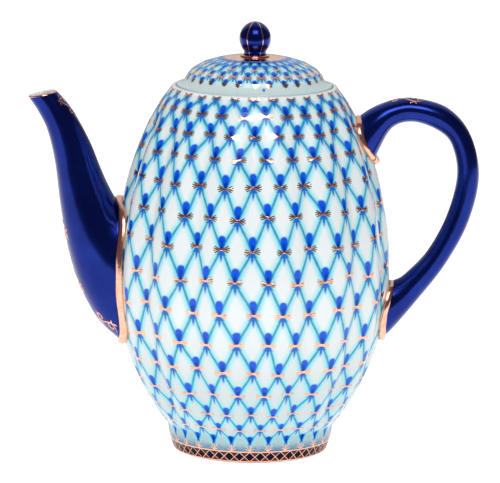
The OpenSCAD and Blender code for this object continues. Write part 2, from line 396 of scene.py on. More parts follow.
PROUD, SINK = 0.12, 0.08  # how far gold stands above a glaze and reaches into it


def plaques(shapes, surface, proud=PROUD):
    """Raised films of gold. A shape is (outline round its own middle, angle, outline distance)."""
    parts = []
    for outline, a0, s0 in shapes:
        n = len(outline)
        ring = np.vstack([outline * 0.55, outline])
        s = s0 - ring[:, 1]
        a = a0 + ring[:, 0] / surface.radius(s)
        rise = np.concatenate([np.full(n, proud), np.full(n, proud * 0.55)])
        top = surface.point(a, s) + surface.normal(a, s) * rise[:, None]
        low = surface.point(a[n:], s[n:]) - surface.normal(a[n:], s[n:]) * SINK
        middle_a, middle_s = np.array([a0]), np.array([s0])
        middle = surface.point(middle_a, middle_s)
        out = surface.normal(middle_a, middle_s)
        verts = np.vstack([top, low, middle + out * proud, middle - out * SINK])
        pairs = [(k, (k + 1) % n) for k in range(n)]
        faces = [(3 * n, x, y) for x, y in pairs]
        faces += [(x, x + n, y + n, y) for x, y in pairs]
        faces += [(x + n, x + 2 * n, y + 2 * n, y + n) for x, y in pairs]
        faces += [(3 * n + 1, y + 2 * n, x + 2 * n) for x, y in pairs]
        parts.append((verts, faces))
    return parts


def stroke(surface, a, s, width, proud, sink=SINK, closed=False):
    """A brushed line of gold on a surface; width may change along it."""
    p, n = surface.point(a, s), surface.normal(a, s)
    along = np.roll(p, -1, 0) - np.roll(p, 1, 0) if closed else np.gradient(p, axis=0)
    side = unit(np.cross(n, along))
    w = (np.broadcast_to(width, len(p)) / 2)[:, None]
    rings = np.stack([
        p - side * w - n * sink, p - side * w + n * proud * 0.5, p + n * proud,
        p + side * w + n * proud * 0.5, p + side * w - n * sink], 1)
    return loft(rings, loop=closed)


def brush(count, width, tip=0.35):
    """Widths at count points of a stroke that swells in the middle and thins at both ends."""
    t = np.linspace(0, 1, count)
    return width * (tip + (1 - tip) * np.sin(math.pi * t) ** 0.7)


# ---- Materials ----

def srgb(r, g, b):
    """A paint colour from its 0-255 values."""
    c = np.array([r, g, b]) / 255
    return (*np.where(c <= 0.04045, c / 12.92, ((c + 0.055) / 1.055) ** 2.4).tolist(), 1.0)


class Num:
    """A number in a node tree, so that sums are written as sums."""

    def __init__(self, tree, socket):
        self.tree, self.socket = tree, socket

    def math(self, operation, *others):
        node = self.tree.nodes.new("ShaderNodeMath")
        node.operation = operation
        for slot_in, value in zip(node.inputs, (self, *others)):
            if isinstance(value, Num):
                self.tree.links.new(value.socket, slot_in)
            else:
                slot_in.default_value = value
        return Num(self.tree, node.outputs[0])

    def __add__(self, o):
        return self.math("ADD", o)

    def __sub__(self, o):
        return self.math("SUBTRACT", o)

    def __mul__(self, o):
        return self.math("MULTIPLY", o)

    def __truediv__(self, o):
        return self.math("DIVIDE", o)

    def __rsub__(self, o):
        return (self * -1.0) + o

    __radd__ = __add__
    __rmul__ = __mul__

    def near(self):
        """Distance to the nearest whole number."""
        return ((self + 0.5).math("FRACT") - 0.5).math("ABSOLUTE")

    def step(self, low, high):
        """Smooth step: 0 at low and 1 at high; low may be the larger."""
        node = self.tree.nodes.new("ShaderNodeMapRange")
        node.interpolation_type = "SMOOTHSTEP"
        self.tree.links.new(self.socket, node.inputs[0])
        ends = (0, 1) if low <= high else (1, 0)
        for slot_in, value in zip(list(node.inputs)[1:5], (min(low, high), max(low, high), *ends)):
            slot_in.default_value = value
        return Num(self.tree, node.outputs[0])


def hypot(a, b):
    """Length of a step of a one way and b across it."""
    return (a * a + b * b).math("SQRT")


def blend(tree, under, over, amount):
    """One paint laid over another."""
    node = tree.nodes.new("ShaderNodeMix")
    node.data_type = "RGBA"
    for slot_in, value in ((node.inputs[6], under), (node.inputs[7], over)):
        if isinstance(value, tuple):
            slot_in.default_value = value
        else:
            tree.links.new(value, slot_in)
    tree.links.new(amount.socket, node.inputs[0])
    return node.outputs[2]


def noise(tree, scale, detail=2.0, rough=0.5):
    """Noise over the object, from about 0 to 1."""
    where = tree.nodes.new("ShaderNodeTexCoord")
    node = tree.nodes.new("ShaderNodeTexNoise")
    tree.links.new(where.outputs["Object"], node.inputs["Vector"])
    node.inputs["Scale"].default_value = scale
    node.inputs["Detail"].default_value = detail
    node.inputs["Roughness"].default_value = rough
    return Num(tree, node.outputs[0])


def material(name, roughness, metallic=0.0, coat=0.0, ior=1.5):
    """A new material and its shader."""
    m = bpy.data.materials.new(name)
    m.use_nodes = True
    shader = m.node_tree.nodes["Principled BSDF"]
    shader.inputs["Roughness"].default_value = roughness
    shader.inputs["Metallic"].default_value = metallic
    shader.inputs["Coat Weight"].default_value = coat
    shader.inputs["Coat Roughness"].default_value = 0.03
    shader.inputs["IOR"].default_value = ior
    return m, m.node_tree, shader


def bump(tree, shader, height, strength, distance):
    """Small relief from a height; distance is in metres."""
    node = tree.nodes.new("ShaderNodeBump")
    node.inputs["Strength"].default_value = strength
    node.inputs["Distance"].default_value = distance
    tree.links.new(height.socket, node.inputs["Height"])
    tree.links.new(node.outputs[0], shader.inputs["Normal"])


WHITE = srgb(232, 241, 241)
HALO = srgb(132, 226, 240)
TEAL = srgb(40, 146, 180)
LEG = srgb(22, 100, 204)
BLUE = srgb(2, 88, 228)
DEEP = srgb(0, 20, 112)
NAVY = srgb(6, 8, 30)
BAND_BROWN = srgb(84, 44, 50)


def axis_numbers(tree):
    """x, y and z on the object in mm."""
    where = tree.nodes.new("ShaderNodeTexCoord")
    split = tree.nodes.new("ShaderNodeSeparateXYZ")
    tree.links.new(where.outputs["Object"], split.inputs[0])
    return [Num(tree, o) * (1 / MM) for o in split.outputs]


def net_uv(tree):
    """Column and row number of the net."""
    where = tree.nodes.new("ShaderNodeUVMap")
    where.uv_map = "Net"
    split = tree.nodes.new("ShaderNodeSeparateXYZ")
    tree.links.new(where.outputs[0], split.inputs[0])
    return Num(tree, split.outputs[0]), Num(tree, split.outputs[1])


def offset_from(u, v, window, pitch, row):
    """Where a point lies from the crossing whose row window holds it: mm to the side, mm above."""
    j = (v + window).math("FLOOR")
    half = (j * 0.5).math("FRACT")
    side = u - half
    side = side - (side + 0.5).math("FLOOR")
    return side * pitch, (j - v) * row


def paint_net(tree, u, v, pitch, row, size, ground, last, strength):
    """The cobalt net: teal lines in a pale blue bloom, and a blue drop over each crossing.

    pitch and row are a column's width and a row's height in mm, size scales the brush, last is the
    number of the last row, and strength is 1 where the painter's brush was fullest. The ends of
    each step are mm from a line or a crossing, or rows where they are taken of v.
    """
    flow = noise(tree, 900.0, 3.0)
    pool = noise(tree, 260.0)
    rise = (u + v * 0.5).near().math("MINIMUM", (u - v * 0.5).near()) * pitch * 0.9
    arch_u = u.near() * 2.0
    arch = (((arch_u * arch_u) + 0.04).math("SQRT") - v).math("ABSOLUTE") * row * 0.45
    low = v.step(0.35, 0.7)
    d = (rise * low + arch * (1.0 - low)) / size + (flow - 0.5) * 0.25
    on = v.step(-0.02, 0.12) * v.step(last + 0.2, last)
    x, y = (q / size for q in offset_from(u, v, 0.25, pitch, row))
    x_up, y_up = (q / size for q in offset_from(u, v, 0.8, pitch, row))
    kept = v.step(0.25, 0.3) * v.step(last + 0.15, last + 0.1)
    bloom = (d - strength * 0.6).step(3.6, 0.0) * (0.6 + 0.55 * pool) * on
    near_cross = hypot(x_up, y_up - 2.5).step(6.0, 1.5) * kept
    under = hypot(x_up * 1.3, y_up + 3.5).step(5.0, 0.5) * on
    wash = bloom * 1.05 + near_cross * 0.3 + under * 0.6
    col = blend(tree, ground, HALO, wash.math("MINIMUM", 1.0))
    thin = (d - strength * 0.15).step(0.95, 0.05) * (0.7 + 0.5 * pool) * on
    col = blend(tree, col, TEAL, thin.math("MINIMUM", 1.0))
    close = (y_up + 0.8).math("ABSOLUTE").step(6.4, 0.6)
    leg = (d - strength * 0.5).step(1.4, 0.1) * (close + strength * 0.3) * on * 0.85
    col = blend(tree, col, LEG, leg.math("MINIMUM", 0.95))
    taper = 0.3 + 0.7 * y_up.step(-0.6, 4.6)
    reach = 5.0 - 1.5 * v.step(last - 5.0, last - 1.0)
    over = (y_up - reach).math("MAXIMUM", 0.0)
    head = hypot(x_up / taper, over) + (flow - 0.5) * 0.6
    drop = head.step(2.3, 1.35) * y_up.step(-0.9, 0.4) * kept
    inner = (y_up + (pool - 0.5) * 9.0 + head).step(5.5, 1.5) * (0.75 + strength * 0.2)
    tint = blend(tree, BLUE, DEEP, inner)
    col = blend(tree, col, tint, drop)
    tail = (x.math("ABSOLUTE") + (flow - 0.5) * 0.3 - y * 0.04).step(1.25, 0.3)
    tail = tail * y.step(-7.4, -4.0) * y.step(0.6, -0.4) * on
    return blend(tree, col, LEG, tail)


RIPPLE_M = 0.0006
PORCELAIN_IOR = 1.52


def gloss(tree, shader):
    """Fired glaze: a faint ripple, and roughness that varies a little."""
    bump(tree, shader, noise(tree, 55.0), 0.35, RIPPLE_M)
    rough = noise(tree, 140.0, 3.0)
    tree.links.new((0.13 + rough * 0.1).socket, shader.inputs["Roughness"])


def glaze_plain():
    """Plain white glaze, for what the brush leaves bare."""
    m, tree, shader = material("white_glaze", 0.08, ior=PORCELAIN_IOR)
    tint = noise(tree, 35.0, 3.0)
    col = blend(tree, WHITE, srgb(226, 236, 238), tint.step(0.45, 0.75))
    tree.links.new(col, shader.inputs["Base Color"])
    gloss(tree, shader)
    return m


def glaze_net(name, specular):
    """White porcelain with the net, the foot's dark band and painted shade towards the foot, for
    the pot.
    """
    m, tree, shader = material(name, 0.08, ior=PORCELAIN_IOR)
    shader.inputs["Specular IOR Level"].default_value = specular
    x, y, z = axis_numbers(tree)
    pitch = hypot(x, y) * (TAU / COLUMNS)
    u, v = net_uv(tree)
    row = pitch * (ROW_BASE + ROW_SWELL * (v * (math.pi / ROWS)).math("SINE"))
    size = (pitch / BELLY_PITCH).math("POWER", 0.55)
    strength = v.step(5.0, 0.5)
    # Painted shade: the ground greys towards the foot, and turns blue just above the band.
    ground = blend(tree, WHITE, srgb(205, 214, 214), z.step(75.0, 24.0) * 0.85)
    ground = blend(tree, ground, srgb(160, 194, 198), z.step(20.0, 6.0) * 0.9)
    shade = z.step(10.5, 6.0) * (0.2 + noise(tree, 500.0)).math("MINIMUM", 1.0)
    ground = blend(tree, ground, srgb(52, 116, 164), shade)
    col = paint_net(tree, u, v, pitch, row, size, ground, float(ROWS), strength)
    around = y.math("ARCTAN2", x) * (FOOT_DIAMONDS / TAU)
    diamond = around.near() * 2.0 + (z - BAND_MID).math("ABSOLUTE") / (BAND_H / 2)
    band = z.step(BAND_MID + BAND_H / 2 + 0.2, BAND_MID + BAND_H / 2 - 0.1)
    col = blend(tree, col, BAND_BROWN, band)
    col = blend(tree, col, NAVY, band * diamond.step(1.0, 0.86))
    tree.links.new(col, shader.inputs["Base Color"])
    gloss(tree, shader)
    return m


def glaze_lid():
    """White porcelain with the tighter net of the lid, and painted shade on its white edge."""
    m, tree, shader = material("lid_glaze", 0.08, ior=PORCELAIN_IOR)
    shader.inputs["Specular IOR Level"].default_value = PAINTED_SPECULAR
    x, y, z = axis_numbers(tree)
    pitch = hypot(x, y) * (TAU / COLUMNS)
    u, v = net_uv(tree)
    # Nothing of the pitch is kept: these two are plain numbers in the form that paint_net takes.
    row = pitch * 0.0 + LID_ROW
    size = pitch * 0.0 + LID_NET_SCALE
    strength = v.step(2.4, 0.3)
    ground = blend(tree, srgb(178, 244, 252), WHITE, v.step(1.0, 3.4))
    # Painted shade on the lid's white edge below the net.
    ground = blend(tree, ground, srgb(206, 228, 228), v.step(3.4, 4.2))
    col = paint_net(tree, u, v + 2.0, pitch, row, size, ground, LID_LAST_ROW + 2.0, strength)
    # The one painted dot on the lid's white edge, at the front.
    dot = hypot(x - DOT_X, z - DOT_Z).step(1.05, 0.35) * y.step(-20.0, -30.0) * 0.9
    col = blend(tree, col, LEG, dot)
    tree.links.new(col, shader.inputs["Base Color"])
    gloss(tree, shader)
    return m


def glaze_cobalt():
    """Deep cobalt, mostly metallic, so that it tints what it reflects as the photo's does."""
    m, tree, shader = material("cobalt_glaze", 0.18, metallic=0.9, coat=0.15, ior=PORCELAIN_IOR)
    pool = noise(tree, 45.0, 4.0, 0.6)
    col = blend(tree, srgb(8, 32, 116), srgb(16, 46, 142), pool.step(0.35, 0.75))
    tree.links.new(col, shader.inputs["Base Color"])
    bump(tree, shader, noise(tree, 60.0), 0.3, RIPPLE_M)
    rough = noise(tree, 160.0, 3.0)
    tree.links.new((0.14 + rough * 0.12).socket, shader.inputs["Roughness"])
    return m


def gilding():
    """Warm, slightly worn rose gold."""
    m, tree, shader = material("gilding", 0.2, metallic=1.0)
    wear = noise(tree, 420.0, 4.0, 0.6)
    col = blend(tree, srgb(250, 198, 168), srgb(236, 168, 142), wear.step(0.3, 0.75))
    tree.links.new(col, shader.inputs["Base Color"])
    bump(tree, shader, noise(tree, 900.0, 3.0), 0.15, 0.0002)
    tree.links.new((0.1 + wear * 0.16).socket, shader.inputs["Roughness"])
    return m


# ---- The foot's dark band, and the lid's net ----
BAND_H = 4.8
BAND_MID = 3.35
FOOT_DIAMONDS = 48
LID_ROW, LID_NET_SCALE, LID_LAST_ROW = 5.2, 0.66, 4.0
DOT_X, DOT_Z = 4.4, 178.5
PAINTED_SPECULAR, FOOT_SPECULAR = 0.32, 0.08

white = glaze_plain()
net_white = glaze_net("net_glaze", PAINTED_SPECULAR)
lid_white = glaze_lid()
foot_white = glaze_net("foot_glaze", FOOT_SPECULAR)
cobalt, gold = glaze_cobalt(), gilding()

# ---- Pot: foot, lobed body, mouth ring ----


def hollow_r(z):
    """Radius of the plain wall inside."""
    return crest_r(z) - LOBE_DEPTH * soft((RING_Z + 4 - z) / LOBE_FADE) - WALL


def build_body():
    """The lobed body with its hollow and its strainer holes."""
    floor_z, top = NECK_Z + 1.5, RING_Z - 3
    inner_z = np.linspace(top, floor_z + 0.2, 60)
    inner = np.stack([np.minimum(hollow_r(inner_z), 31.6 + (inner_z - floor_z) * 4), inner_z], 1)
    outer = np.stack([crest_r(body_z), body_z], 1)[::-1]
    profile = np.vstack([
        [[0.01, FOOT_HOLLOW], [16, FOOT_HOLLOW], [FOOT_IN, FOOT_HOLLOW], [FOOT_IN, NECK_Z]],
        outer, [[MOUTH_R + 1, RING_Z]], inner, [[16, floor_z], [0.01, floor_z]]])
    lobed = np.zeros(len(profile), bool)
    lobed[4:4 + len(outer)] = True
    rings = turned_rings(profile, AROUND, lobed)
    uv = strip_uv(outer_uv(profile, lobed), 2, AROUND)
    obj = make("pot_body", *loft(rings), "pot", "white_glaze", [net_white], uv)
    holes = []
    for i in range(-STRAINER_ROWS, STRAINER_ROWS + 1):
        count = 3 if i % 2 == 0 else 2
        for k in range(count):
            y, z = (k - (count - 1) / 2) * STRAINER_PITCH, SPOUT_Z + i * STRAINER_PITCH
            holes.append(rod((STRAINER_X, y, z), (1, 0, 0), STRAINER_R, 24))
    cut(obj, *join_parts(holes))
    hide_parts("body_shell", "body_shoulder")


def build_foot():
    """The foot ring, hollow underneath."""
    profile = np.vstack([foot_wall, [[FOOT_IN + 0.6, 0], [FOOT_IN, 0.6], [FOOT_IN, NECK_Z]]])
    solid = loft(turned_rings(profile, AROUND), loop=True)
    uv = closed_uv(profile, len(foot_wall))
    obj = make("pot_foot", *solid, "pot", "white_glaze", [foot_white], uv)
    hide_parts("foot_ring")


def build_rim():
    """The mouth ring, with the lid's seat and the notch that lets its lug through."""
    seat = [[MOUTH_R, RING_Z], [MOUTH_R, SEAT_Z - 0.3], [MOUTH_R + 0.3, SEAT_Z],
            [LID_R + 0.5, SEAT_Z], [LID_R + 0.5, RIM_Z - 0.2], [LID_R + 0.7, RIM_Z]]
    profile = np.vstack([rim_wall, seat])
    solid = loft(turned_rings(profile, AROUND), loop=True)
    uv = closed_uv(profile, len(rim_wall))
    obj = make("pot_rim", *solid, "pot", "white_glaze", [net_white], uv)
    reach, half = MOUTH_R + NOTCH_DEPTH, NOTCH_HALF_W
    cut(obj, *loft([[[0, -half, z], [reach, -half, z], [reach, half, z], [0, half, z]]
                    for z in (RING_Z - 1, RIM_Z + 1)]))
    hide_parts("rim_gallery")


build_body()
build_foot()
build_rim()

# ---- Spout and handle ----
# Slices as the CAD part has them: one edge's x and z, the other edge's x and z, half width.
# The handle's first two are a little fuller underneath than the CAD part's, as in the photo.
SPOUT_SLICES = [
    [64.4, 119.4, 63.6, 52.6, 19.0], [66.3, 121.8, 74.0, 62.6, 18.0],
    [68.5, 125.8, 82.5, 78.5, 16.5], [71.0, 131.0, 88.0, 96.0, 14.5],
    [73.8, 137.6, 91.8, 116.0, 12.3], [77.3, 146.3, 94.6, 137.5, 10.0],
    [82.4, 156.3, 98.3, 153.0, 8.4], [88.0, 165.3, 103.0, 162.6, 7.4],
    [93.9, 171.9, 107.3, 168.9, 6.8]]
HANDLE_SLICES = [
    [46.0, 158.5, 55.8, 135.5, 9.4], [55.0, 165.3, 60.2, 146.8, 8.6],
    [65.0, 169.5, 66.3, 156.8, 7.2], [76.0, 170.8, 76.0, 159.4, 6.6],
    [92.0, 166.3, 87.6, 155.4, 6.4], [103.0, 153.8, 94.2, 148.6, 6.3],
    [107.6, 134.0, 97.0, 134.0, 6.3], [103.0, 111.6, 92.7, 115.0, 6.4],
    [92.6, 91.2, 83.8, 97.5, 6.6], [79.5, 73.6, 73.7, 86.4, 7.4],
    [66.0, 57.5, 68.6, 83.0, 8.8], [58.5, 52.0, 62.0, 81.5, 9.4]]
COLLAR_PROUD = 1.0  # how much larger the spout's collar is than its root
COLLAR_OUT, COLLAR_SIDE = 1.18, 0.82  # the band's section, away from the wall and along it
# Middle height, half height, half width and thickness of each collar.
SPOUT_COLLAR = (SPOUT_Z, SPOUT_HALF_H + COLLAR_PROUD, SPOUT_HALF_W + COLLAR_PROUD, 4.0)
UPPER_COLLAR = (150.5, 10.4, 9.6, 3.2)
LOWER_COLLAR = (68.0, 13.4, 9.8, 3.2)


def ovals(slices, inset, n):
    """Rings round the slices, shrunk by inset, on the +X side."""
    s = np.asarray(slices)
    a = TAU * np.arange(n) / n
    first, second = s[:, 0:2], s[:, 2:4]
    middle, half = (first + second) / 2, (first - second) / 2
    shrink = 1 - inset / np.linalg.norm(half, axis=1, keepdims=True)
    xz = middle[:, None, :] + (half * shrink)[:, None, :] * np.cos(a)[None, :, None]
    y = (s[:, 4:5] - inset) * np.sin(a)[None, :]
    return np.stack([xz[..., 0], y, xz[..., 1]], -1)


class Swept:
    """A swept surface given by its rings. t runs along it in rings, a round it."""

    def __init__(self, rings):
        self.rings = rings
        step = np.linalg.norm(np.diff(rings.mean(1), axis=0), axis=1)
        self.run = np.concatenate([[0], np.cumsum(step)])

    def point(self, a, t):
        count, n = self.rings.shape[:2]
        i = np.clip(np.asarray(t, float), 0, count - 1.001)
        k = (np.asarray(a, float) / TAU * n) % n
        i0, k0 = np.floor(i).astype(int), np.floor(k).astype(int) % n
        past_i, past_k = (i - i0)[..., None], (k - np.floor(k))[..., None]
        k1 = (k0 + 1) % n
        near = self.rings[i0, k0] * (1 - past_k) + self.rings[i0, k1] * past_k
        far = self.rings[i0 + 1, k0] * (1 - past_k) + self.rings[i0 + 1, k1] * past_k
        return near * (1 - past_i) + far * past_i

    def normal(self, a, t):
        da, dt = 0.06, 0.6
        along = self.point(a, t + dt) - self.point(a, t - dt)
        around = self.point(a + da, t) - self.point(a - da, t)
        n = unit(np.cross(along, around))
        i = np.clip(np.asarray(t, float).astype(int), 0, len(self.rings) - 1)
        out = self.point(a, t) - self.rings.mean(1)[i]
        return n * np.sign((n * out).sum(-1, keepdims=True))


SPOUT_N, HANDLE_N = 96, 72
spout_fill = curve(SPOUT_SLICES, 14)


def spout_root(inset):
    """The oval in which the spout meets the body."""
    a = TAU * np.arange(SPOUT_N) / SPOUT_N
    y = (SPOUT_HALF_W - inset) * np.sin(a)
    z = SPOUT_Z + (SPOUT_HALF_H - inset) * np.cos(a)
    r = crest_r(z) - LOBE_DEPTH - 1
    return np.stack([np.sqrt(r * r - y * y), y, z], -1)


MIRROR = np.array([-1.0, 1, 1])
spout_outer = np.concatenate([spout_root(0)[None], ovals(spout_fill, 0, SPOUT_N)]) * MIRROR
spout_inner = np.concatenate(
    [spout_root(SPOUT_WALL)[None], ovals(spout_fill, SPOUT_WALL, SPOUT_N)]) * MIRROR


def build_spout():
    """The hollow spout with its rounded lip, and the gilt on the lip."""
    axis = unit(spout_outer[-1].mean(0) - spout_outer[-4].mean(0))
    lip = []
    for t in np.linspace(0, 1, 9)[1:-1]:
        across = (1 - math.cos(math.pi * t)) / 2
        lip.append(spout_outer[-1] * (1 - across) + spout_inner[-1] * across
                   + axis * 0.9 * math.sin(math.pi * t))
    rings = np.concatenate([spout_outer, lip, spout_inner[::-1]])
    strips = np.repeat(np.arange(len(rings)), SPOUT_N)
    obj = make("spout_cobalt", *loft(rings, loop=True), "pot", "cobalt_glaze", [cobalt, white],
               indices=strips >= len(spout_outer))
    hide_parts("spout")
    mid = len(spout_outer) - 1
    edge = rings[mid:mid + 6]
    centre = edge.mean((0, 1))
    shell = edge + unit(edge - centre) * 0.1
    under = [spout_inner[-1] * t + spout_outer[-1] * (1 - t) - axis * 0.5 for t in (0.7, 0.3)]
    band = np.concatenate([shell, under])
    make("spout_lip_gilt", *loft(band, loop=True), "pot", "gilding", [gold])
    return Swept(spout_outer)


def build_handle():
    """The handle's loop."""
    rings = ovals(curve(HANDLE_SLICES, 14), 0, HANDLE_N)
    obj = make("handle_cobalt", *loft(rings), "pot", "cobalt_glaze", [cobalt])
    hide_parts("handle")
    return Swept(rings)


def build_collar(name, node, mid_z, half_h, half_w, thick, sign):
    """Gilt band that hugs the wall round a root. sign is 1 for the handle and -1 for the spout."""
    around, n = 180, 22
    a = TAU * np.arange(around) / around
    y, z = half_w * np.cos(a), mid_z + half_h * np.sin(a)
    base = 0 if sign > 0 else math.pi
    r = wall_r(z, base + np.arcsin(y / crest_r(z)) * sign)
    path = np.stack([sign * (np.sqrt(r * r - y * y) + 0.38 * thick), y, z], -1)
    for _ in range(40):  # smoothed, so that the band bridges the creases
        path[:, 0] = (np.roll(path[:, 0], 1) + 2 * path[:, 0] + np.roll(path[:, 0], -1)) / 4
    step = unit(np.roll(path, -1, 0) - np.roll(path, 1, 0))
    out = unit(np.cross(step, np.cross([sign, 0, 0], step)))
    side = np.cross(step, out)
    b = TAU * np.arange(n) / n
    swell = 1 + 0.05 * np.sin(5 * a + 1) + 0.04 * np.sin(11 * a + 2)
    section = (COLLAR_OUT * np.cos(b)[None, :, None] * out[:, None]
               + COLLAR_SIDE * np.sin(b)[None, :, None] * side[:, None])
    rings = path[:, None] + thick / 2 * swell[:, None, None] * section
    obj = make(name, *loft(rings, loop=True), "pot", "gilding", [gold])
    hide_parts(node)


spout = build_spout()
handle = build_handle()
build_collar("spout_collar_gilt", "spout_collar", *SPOUT_COLLAR, -1)
build_collar("handle_upper_gilt", "handle_upper_collar", *UPPER_COLLAR, 1)
build_collar("handle_lower_gilt", "handle_lower_collar", *LOWER_COLLAR, 1)

# ---- Lid and knob ----
DOME_R, DOME_RISE, DOME_H, DOME_POWER = 32.8, 3.5, 12.3, 2.2
CROWN_R, CROWN_FLAT_R, CROWN_RISE = 14.5, 7.5, 0.5
FLANGE_R, FLANGE_WALL, LID_WALL, ROLL = 29.8, 2.6, 3.0, 1.2
LID_N, CROWN_N, KNOB_N = 224, 168, 96  # points round each
KNOB_R, KNOB_HALF_H, KNOB_NECK_R, MERIDIANS = 7.4, 8.1, 5.2, 6


def dome_height(r):
    """Height of the lid's dome at radius r."""
    fall = (np.asarray(r) / DOME_R) ** DOME_POWER
    return LID_Z + DOME_RISE + DOME_H * np.sqrt(np.clip(1 - fall, 0, 1))


CROWN_Z = float(dome_height(CROWN_R))
CROWN_TOP = CROWN_Z + CROWN_RISE
DOME_EDGE_R = DOME_R - 0.7
DOME_STEPS = 50
dome_r = CROWN_R + (DOME_EDGE_R - CROWN_R) * np.sin(np.linspace(0, math.pi / 2, DOME_STEPS))
roll = arc((LID_R - ROLL, LID_Z + ROLL), ROLL, 45, -90, 14)
dome_edge = [DOME_EDGE_R, float(dome_height(DOME_EDGE_R))]
flare = curve([dome_edge, [33.0, 179.1], [34.7, 177.4], roll[0]], 8)
lid_outline = np.vstack([np.stack([dome_r, dome_height(dome_r)], 1), flare[1:-1], roll])
lid = Turned(lid_outline)
LID_ROW_R = [14.5, 18.5, 24.7, 29.8, 32.1]
lid_row_s = np.interp(LID_ROW_R, lid.r[:DOME_STEPS], lid.s[:DOME_STEPS]) + [0, 0, 0, 0, 0.6]


def lid_v(s):
    """Row number on the lid: 0 at the crown and 4 at its painted edge."""
    return np.interp(s, lid_row_s, np.arange(5.0))


def build_lid():
    """The hollow dome of the lid with its steam hole; its net strays a little."""
    inner_r = np.linspace(FLANGE_R - FLANGE_WALL, CROWN_R, 24)
    inner = np.stack([inner_r, dome_height(inner_r) - LID_WALL - (inner_r - CROWN_R) * 0.06], 1)
    under = [[FLANGE_R, LID_Z], [FLANGE_R - FLANGE_WALL, LID_Z + 0.6]]
    profile = np.vstack([lid_outline, under, inner])
    n = LID_N
    solid = loft(turned_rings(profile, n), loop=True)
    a = TAU * np.arange(n + 1) / n - FRONT
    grid = np.full((len(profile) + 1, n + 1, 2), OFF_NET)
    grid[..., 0] = (a - FRONT) / TAU * COLUMNS
    for i, s in enumerate(lid.s):
        below = max(0.0, s - lid_row_s[-1])
        grid[i, :, 1] = lid_v(s) + below / 5.0
    wobble = np.clip(rng.normal(0, 0.05, n), -0.1, 0.1)
    wobble = (wobble + np.roll(wobble, 1) + np.roll(wobble, 2)) / 2
    grid[:len(lid.s), :, 1] += np.append(wobble, wobble[0])[None, :]
    uv = strip_uv(grid, 0, n)
    obj = make("lid_porcelain", *solid, "lid", "white_glaze", [lid_white], uv)
    cut(obj, *rod((0, (CROWN_R + FLANGE_R) / 2, LID_Z + 10), (0, 0, 1), STEAM_R, 20))
    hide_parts("lid_dome")


def build_crown():
    """The gilt middle of the lid."""
    r = np.linspace(CROWN_R, CROWN_FLAT_R, 10)
    t = (r - CROWN_FLAT_R) / (CROWN_R - CROWN_FLAT_R)
    top = np.stack([r, CROWN_TOP - CROWN_RISE * t * t], 1)
    edge = [[CROWN_R + 0.25, CROWN_Z - 0.25], [CROWN_R + 0.2, CROWN_Z + 0.02]]
    profile = np.vstack([[[0.01, CROWN_Z - LID_WALL], [CROWN_R, CROWN_Z - LID_WALL]], edge,
                         top, [[0.01, CROWN_TOP]]])
    rings = turned_rings(profile, CROWN_N)
    obj = make("lid_crown_gilt", *loft(rings), "lid", "gilding", [gold])
    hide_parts("lid_crown")


def knob_profile():
    """The knob's outline from its foot up."""
    start = -math.degrees(math.acos(KNOB_NECK_R / KNOB_R))
    a = np.radians(np.linspace(start, 89.5, 60))
    ball = np.stack([KNOB_R * np.cos(a), KNOB_TOP - KNOB_HALF_H + KNOB_HALF_H * np.sin(a)], 1)
    neck = curve([[KNOB_NECK_R + 0.9, CROWN_TOP], [KNOB_NECK_R + 0.35, CROWN_TOP + 0.5],
                  [KNOB_NECK_R, CROWN_TOP + 1.3], ball[0]], 6)
    return np.vstack([neck[:-1], ball])


def build_knob():
    """The knob, with its gilt meridians and the ring where they meet."""
    profile = knob_profile()
    rings = turned_rings(np.vstack([[[0.01, CROWN_TOP]], profile]), KNOB_N)
    obj = make("knob_cobalt", *loft(rings), "lid", "cobalt_glaze", [cobalt])
    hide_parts("knob")
    ball = Turned(profile[::-1])
    parts = []
    for i in range(MERIDIANS):
        a = FRONT + TAU * (i + 0.5) / MERIDIANS
        s = np.linspace(0.8, ball.s[-1] - 1.0, 40)
        angle = a + 0.015 * np.sin(s * 0.6 + i)
        parts.append(stroke(ball, angle, s, 0.42, 0.09))
    s = np.full(48, 0.9)
    a = TAU * np.arange(48) / 48
    parts.append(stroke(ball, a, s, 0.4, 0.09, closed=True))
    make("knob_meridians", *join_parts(parts), "lid", "gilding", [gold])


build_lid()
build_crown()
build_knob()

# These CAD nodes are kept, and only take a material.
for node, paint in (("lid_flange", white), ("lid_lug", white), ("knob_ring", gold)):
    for own_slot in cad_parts[node].material_slots:
        own_slot.material = paint

# ---- Gold on the net ----
# The bow's upper right quarter; the other three mirror it.
RIGHT_BOW = [(1.0, 0.62), (2.75, 1.6), (3.15, 1.3), (2.0, 0.52),
             (3.5, 0.76), (3.62, 0.34), (2.2, 0.0)]
BOW = np.array([(0, 0.5)] + RIGHT_BOW + [(x, -y) for x, y in RIGHT_BOW[-2::-1]] + [(0, -0.5)]
               + [(-x, -y) for x, y in RIGHT_BOW] + [(-x, y) for x, y in RIGHT_BOW[-2::-1]])
CLOVER = np.array([(0, 1.0), (1.0, 0.9), (1.7, 0.6), (1.0, 0.0), (1.15, -0.7), (0.5, -0.75),
                   (0, -1.5), (-0.5, -0.75), (-1.15, -0.7), (-1.0, 0.0), (-1.7, 0.6), (-1.0, 0.9)])
BOW_SCALE = 1.08
# What the lid's rows carry: row, every how many columns, shape, scale.
LID_GOLD = ((4, 1, CLOVER, 1.05), (3, 1, BOW * [0.78, 1.12], 0.86),
            (2, 2, BOW * [0.85, 1.1], 0.78))
# Middle height, half width and half height of the ovals under which no bow is laid.
SPOUT_CLEAR = (SPOUT_Z, 23.5, 38.5)
UPPER_CLEAR, LOWER_CLEAR = (150.0, 12.8, 13.0), (68.0, 13.0, 17.0)


def turn(shape, angle, scale):
    """A shape turned by an angle and scaled."""
    c, s = math.cos(angle), math.sin(angle)
    x, y = shape[:, 0] * scale, shape[:, 1] * scale
    return np.stack([x * c - y * s, x * s + y * c], 1)


